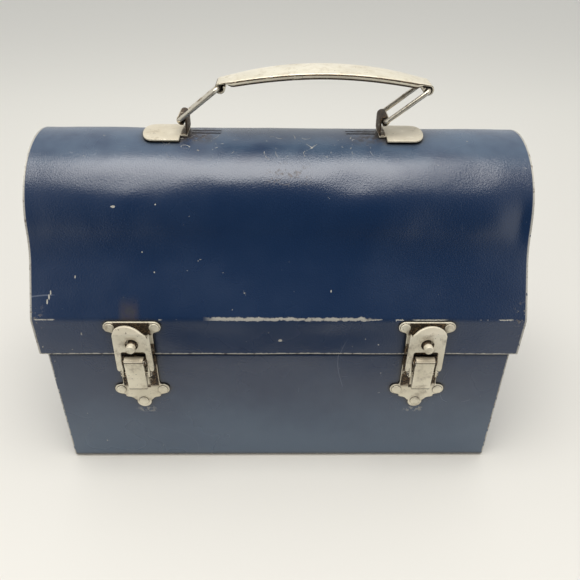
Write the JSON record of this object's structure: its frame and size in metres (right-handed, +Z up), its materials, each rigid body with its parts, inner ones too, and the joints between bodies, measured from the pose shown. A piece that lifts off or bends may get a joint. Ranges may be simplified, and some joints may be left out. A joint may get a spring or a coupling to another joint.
{
  "type": "lunch box",
  "caption": "Steel workman's lunch box with domed lid, rear hinge, front draw latches, folding wire-link handle and a bottle bail inside the lid.",
  "frame": {"origin": "centre of the flat underside of the body", "axes": "+Z up, +X along the length to the right, -Y out of the front with the latches"},
  "size_m": [0.254, 0.1417, 0.2128],
  "materials": {
    "body_paint": "worn semi-gloss navy enamel",
    "lid_paint": "worn semi-gloss navy enamel",
    "hinge_paint": "navy enamel rubbed to steel on the knuckles",
    "nickel": "aged nickel plate with brown tarnish",
    "steel_wire": "dull drawn wire, tarnished"
  },
  "bodies": {
    "box": {"body_shell": "body_paint", "body_end_left": "body_paint", "body_end_right": "body_paint", "hinge_leaf_body": "hinge_paint", "hinge_pin": "steel_wire", "latch_base_left": "nickel", "base_rivet_left_1": "nickel", "base_rivet_left_2": "nickel", "base_rivet_left_3": "nickel", "lever_pin_left": "steel_wire", "latch_base_right": "nickel", "base_rivet_right_1": "nickel", "base_rivet_right_2": "nickel", "base_rivet_right_3": "nickel", "lever_pin_right": "steel_wire"},
    "lid": {"lid_shell": "lid_paint", "lid_end_left": "lid_paint", "lid_end_right": "lid_paint", "hinge_leaf_lid": "hinge_paint", "bail_clip_left": "steel_wire", "bail_clip_right": "steel_wire", "bail_catch": "steel_wire", "keeper_plate_left": "nickel", "keeper_stud_left": "nickel", "keeper_rivet_left_1": "nickel", "keeper_rivet_left_2": "nickel", "handle_bracket_left": "nickel", "keeper_plate_right": "nickel", "keeper_stud_right": "nickel", "keeper_rivet_right_1": "nickel", "keeper_rivet_right_2": "nickel", "handle_bracket_right": "nickel"},
    "lever_left": {"latch_lever_left": "nickel", "hasp_pin_left": "steel_wire"},
    "hasp_left": {"latch_hasp_left": "nickel"},
    "link_left": {"handle_link_left": "steel_wire"},
    "lever_right": {"latch_lever_right": "nickel", "hasp_pin_right": "steel_wire"},
    "hasp_right": {"latch_hasp_right": "nickel"},
    "link_right": {"handle_link_right": "steel_wire"},
    "grip": {"handle_grip": "nickel"},
    "bail": {"bottle_bail": "steel_wire"}
  },
  "joints": [
    {"name": "lid_hinge", "type": "hinge", "parent": "box", "child": "lid", "pos_m": [0, 0.0658, 0.0806], "axis": [-1, 0, 0], "range_deg": [0, 120]},
    {"name": "lever_left_pivot", "type": "hinge", "parent": "box", "child": "lever_left", "pos_m": [-0.076, -0.0693, 0.0802], "axis": [-1, 0, 0], "range_deg": [0, 120]},
    {"name": "hasp_left_pivot", "type": "hinge", "parent": "lever_left", "child": "hasp_left", "pos_m": [-0.076, -0.0685, 0.0722], "axis": [-1, 0, 0], "range_deg": [-150, 0]},
    {"name": "lever_right_pivot", "type": "hinge", "parent": "box", "child": "lever_right", "pos_m": [0.076, -0.0693, 0.0802], "axis": [-1, 0, 0], "range_deg": [0, 120]},
    {"name": "hasp_right_pivot", "type": "hinge", "parent": "lever_right", "child": "hasp_right", "pos_m": [0.076, -0.0685, 0.0722], "axis": [-1, 0, 0], "range_deg": [-150, 0]},
    {"name": "link_left_pivot", "type": "hinge", "parent": "lid", "child": "link_left", "pos_m": [-0.0505, 0, 0.188], "axis": [0, 1, 0], "range_deg": [-140, 36]},
    {"name": "link_right_pivot", "type": "hinge", "parent": "lid", "child": "link_right", "pos_m": [0.0535, 0, 0.188], "axis": [0, 1, 0], "range_deg": [-140, 36]},
    {"name": "grip_pivot", "type": "hinge", "parent": "link_left", "child": "grip", "pos_m": [-0.03017, 0, 0.20388], "axis": [0, 1, 0], "range_deg": [-36, 140]},
    {"name": "bail_hinge", "type": "hinge", "parent": "lid", "child": "bail", "pos_m": [0, 0.04979, 0.11865], "axis": [1, 0, 0], "range_deg": [0, 70]}
  ],
  "couplings": [
    {"joint": "hasp_left_pivot", "follows": "lever_left_pivot", "ratio": -1.25},
    {"joint": "hasp_right_pivot", "follows": "lever_right_pivot", "ratio": -1.25},
    {"joint": "link_right_pivot", "follows": "link_left_pivot", "ratio": 1},
    {"joint": "grip_pivot", "follows": "link_left_pivot", "ratio": -1}
  ]
}
